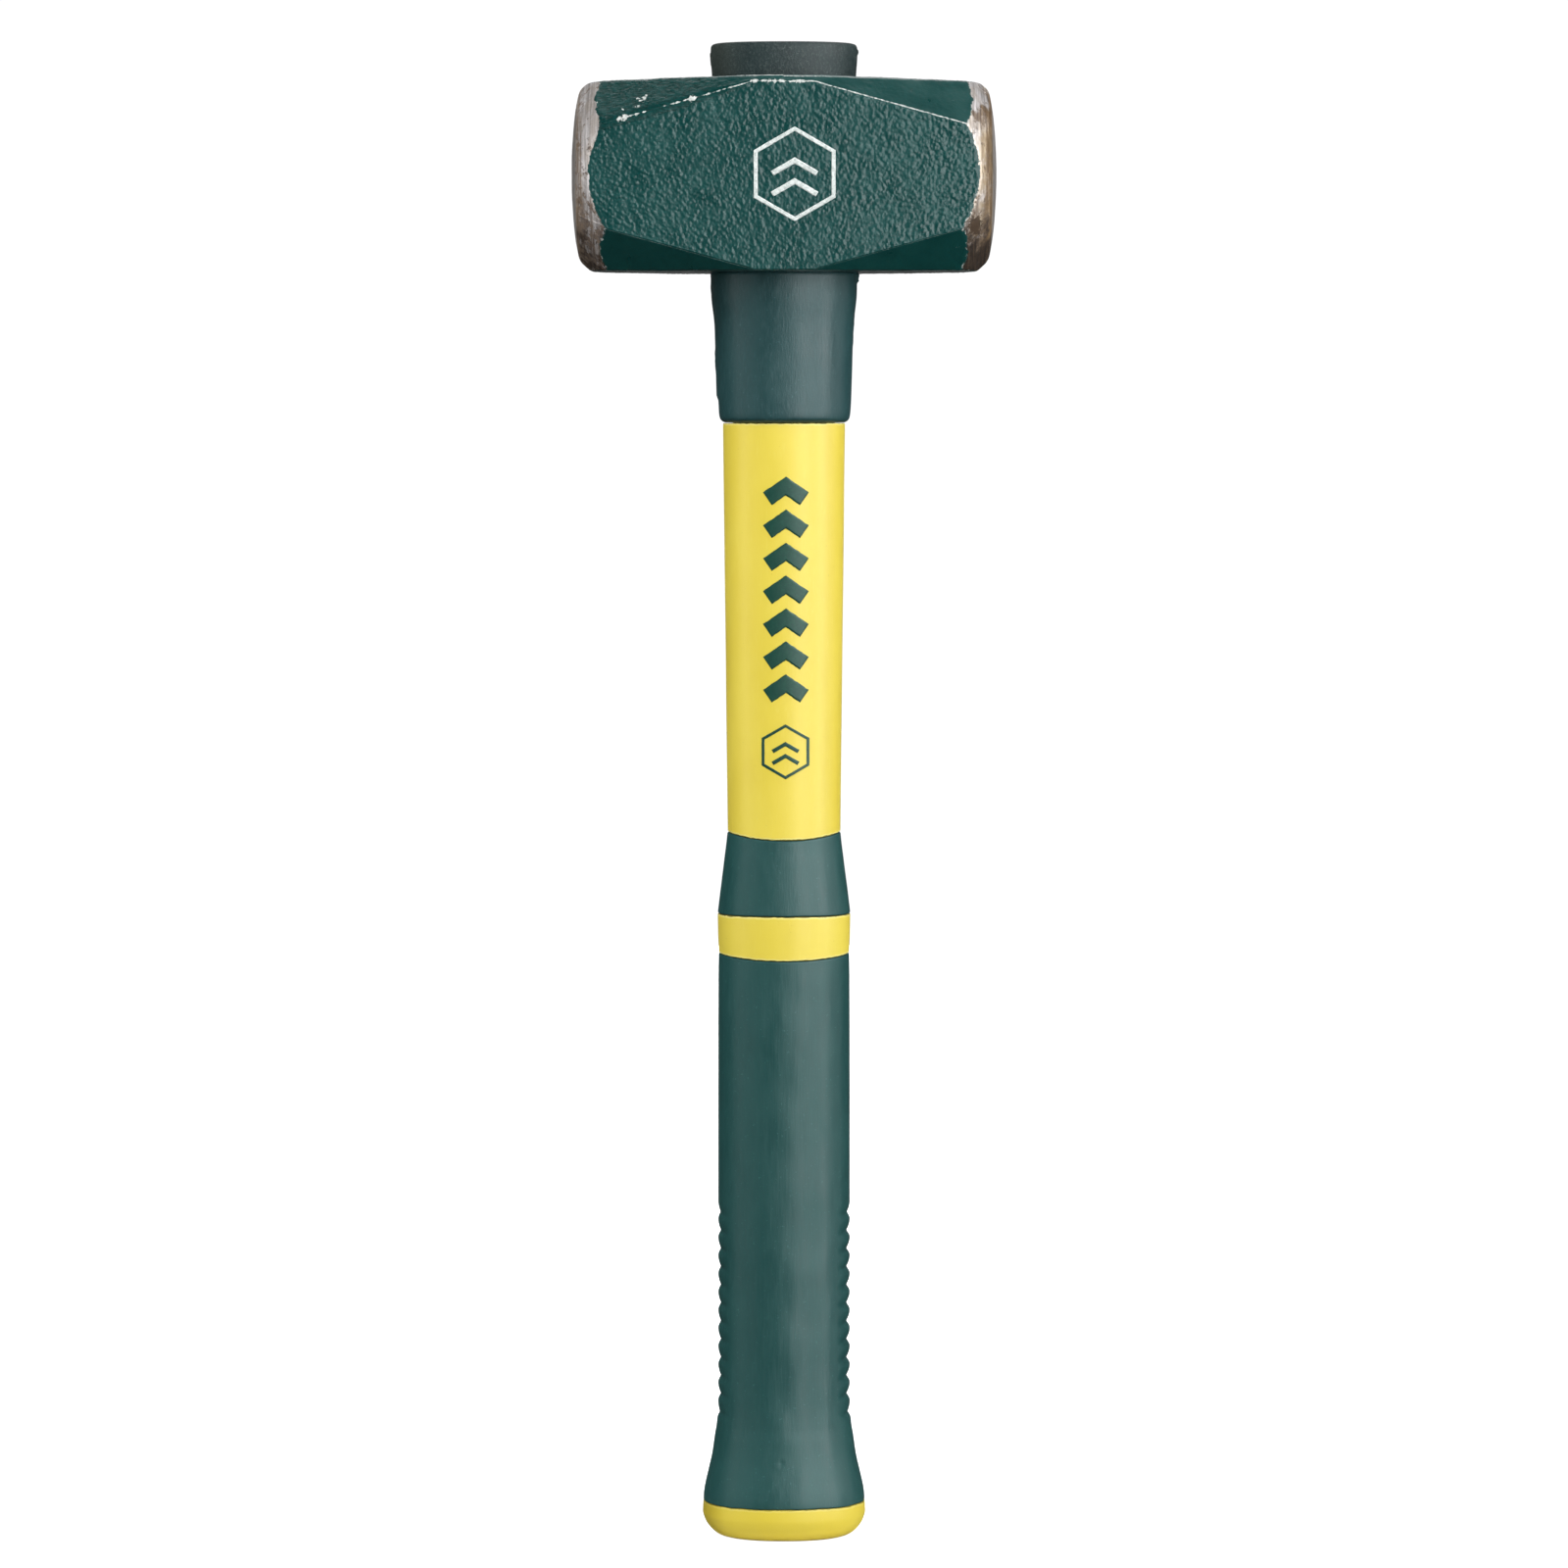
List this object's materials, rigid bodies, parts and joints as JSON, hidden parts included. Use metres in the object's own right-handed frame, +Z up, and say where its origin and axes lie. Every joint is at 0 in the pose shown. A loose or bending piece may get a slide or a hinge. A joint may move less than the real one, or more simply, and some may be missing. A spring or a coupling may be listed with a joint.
{
  "type": "sledgehammer",
  "caption": "Short sledgehammer: octagonal double-faced green steel head on a yellow jacketed glass-fibre handle with a plug, collar, cuff, band, notched grip and end cap.",
  "frame": {"origin": "centre of the flat butt end, at the bottom of the handle", "axes": "+Z up along the handle to the head, X along the head from face to face, Y through the head's flat cheeks"},
  "size_m": [0.1128, 0.0508, 0.4],
  "materials": {
    "head_enamel": "satin",
    "slate_moulding": "satin",
    "resin": "gloss",
    "glass_fibre": "satin",
    "yellow_jacket": "satin",
    "green_grip": "matte"
  },
  "bodies": {
    "root": {"hammer_head": "head_enamel", "top_plug": "slate_moulding", "head_collar": "slate_moulding", "eye_bond": "resin", "core_rod": "glass_fibre", "shaft_jacket": "yellow_jacket", "grip_cuff": "green_grip", "grip_ring": "yellow_jacket", "grip_sleeve": "green_grip", "butt_cap": "yellow_jacket"}
  },
  "joints": []
}
